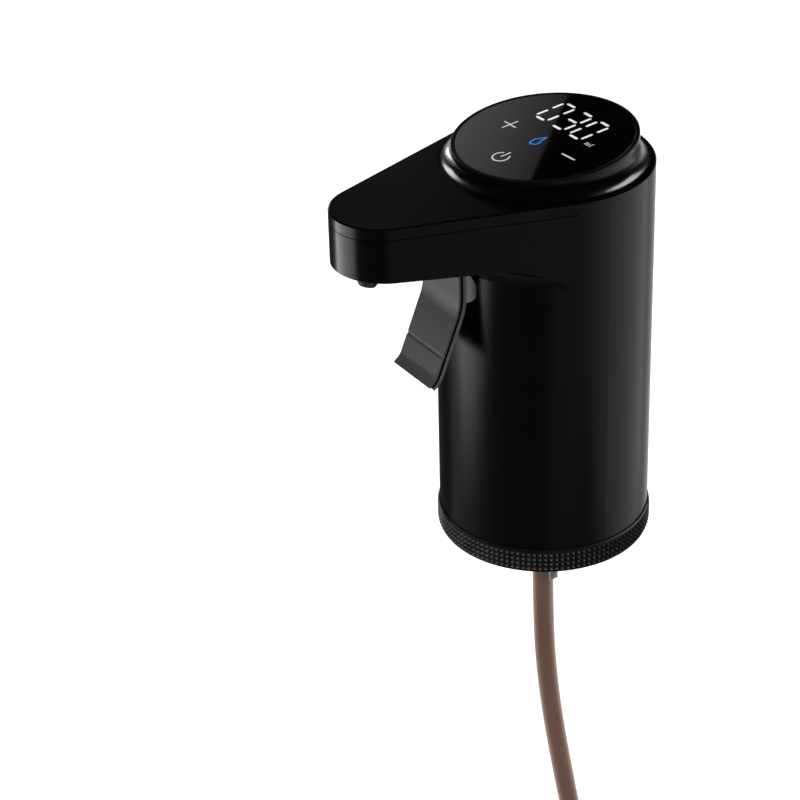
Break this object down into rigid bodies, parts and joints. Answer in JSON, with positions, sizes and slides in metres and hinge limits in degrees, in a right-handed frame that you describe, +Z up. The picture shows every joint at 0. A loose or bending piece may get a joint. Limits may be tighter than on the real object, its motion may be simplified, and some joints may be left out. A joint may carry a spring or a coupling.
{
  "type": "wine preservation dispenser",
  "caption": "Round electric dispenser that plugs into a wine bottle, with a spout arm, a squeeze lever under it, a tilted round display, a knurled lock ring and a dip tube.",
  "frame": {"origin": "on the axis of the round body, in the plane of the bottle's lip, where the stopper's plain land starts", "axes": "+Z up along the body axis, -Y along the spout arm, +X to the right of someone facing +Y"},
  "size_m": [0.0594, 0.094, 0.3689],
  "materials": {
    "body_black": "satin black",
    "bezel": "dark satin",
    "display_glass": "polished, tinted black",
    "board": "coated board",
    "led": "moulded white",
    "copper_pad": "plated",
    "ring_black": "satin black",
    "inner_black": "moulded",
    "steel": "bright",
    "silicone": "smooth",
    "tube": "smooth",
    "tube_clear": "smooth",
    "pump_grey": "moulded",
    "gear_white": "moulded",
    "rotor": "wound core",
    "battery_wrap": "shrink wrap",
    "chip": "moulded",
    "ribbon": "film",
    "lever_black": "satin black",
    "nozzle_black": "satin black"
  },
  "bodies": {
    "device": {"main_housing": "body_black", "top_cover": "body_black", "display_bezel": "bezel", "display_glass": "display_glass", "display_board": "board", "led_block": "led", "touch_pads": "copper_pad", "base_chassis": "inner_black", "ring_retainer": "inner_black", "retainer_screws": "steel", "base_screws": "steel", "stopper_carrier": "inner_black", "stopper_seal": "silicone", "lip_gasket": "silicone", "stopper_core": "inner_black", "inlet_o_ring": "silicone", "air_valve": "silicone", "dip_tube": "tube", "pump_body": "pump_grey", "pump_cover": "pump_grey", "motor_mount": "pump_grey", "pump_bolts": "steel", "motor_bolts": "steel", "shaft_seal": "silicone", "idler_shaft": "steel", "motor_can": "steel", "motor_end_cap": "inner_black", "battery_cell": "battery_wrap", "battery_tabs": "steel", "battery_cradle": "pump_grey", "cradle_pegs": "pump_grey", "control_board": "board", "board_components": "chip", "charging_port": "steel", "display_ribbon": "ribbon", "lever_pin": "steel", "micro_switch": "inner_black", "lever_bracket": "inner_black", "bracket_screws": "steel", "lever_spring": "steel", "nozzle": "nozzle_black", "nozzle_screws": "steel", "drip_valve": "silicone", "outlet_hose": "tube_clear"},
    "drive_rotor": {"motor_rotor": "rotor", "motor_shaft": "steel", "drive_gear": "gear_white"},
    "idler": {"idler_gear": "gear_white"},
    "lever": {"lever_arm": "inner_black", "lever_backing": "inner_black", "lever_plate": "lever_black"},
    "plunger": {"switch_plunger": "gear_white"},
    "ring": {"lock_ring": "ring_black"}
  },
  "joints": [
    {"name": "lock_ring_turn", "type": "hinge", "parent": "device", "child": "ring", "pos_m": [0, 0, -0.0085], "axis": [0, 0, 1], "range_deg": [0, 60]},
    {"name": "pump_drive_spin", "type": "hinge", "parent": "device", "child": "drive_rotor", "pos_m": [0, -0.014, 0.01285], "axis": [0, 0, 1], "continuous": true},
    {"name": "pump_idler_spin", "type": "hinge", "parent": "device", "child": "idler", "pos_m": [0, -0.004, 0.01285], "axis": [0, 0, 1], "continuous": true},
    {"name": "lever_squeeze", "type": "hinge", "parent": "device", "child": "lever", "pos_m": [0, -0.0225, 0.073], "axis": [1, 0, 0], "range_deg": [0, 7], "stiffness_Nm_per_rad": 0.15, "springref_deg": -5.73, "deforming": ["lever_spring"]},
    {"name": "switch_plunger_slide", "type": "slide", "parent": "device", "child": "plunger", "axis": [0, 0, 1], "range_m": [0, 0.00075]}
  ],
  "couplings": [
    {"joint": "pump_idler_spin", "follows": "pump_drive_spin", "ratio": -1},
    {"joint": "switch_plunger_slide", "follows": "lever_squeeze", "m_per_rad": 0.0055}
  ]
}
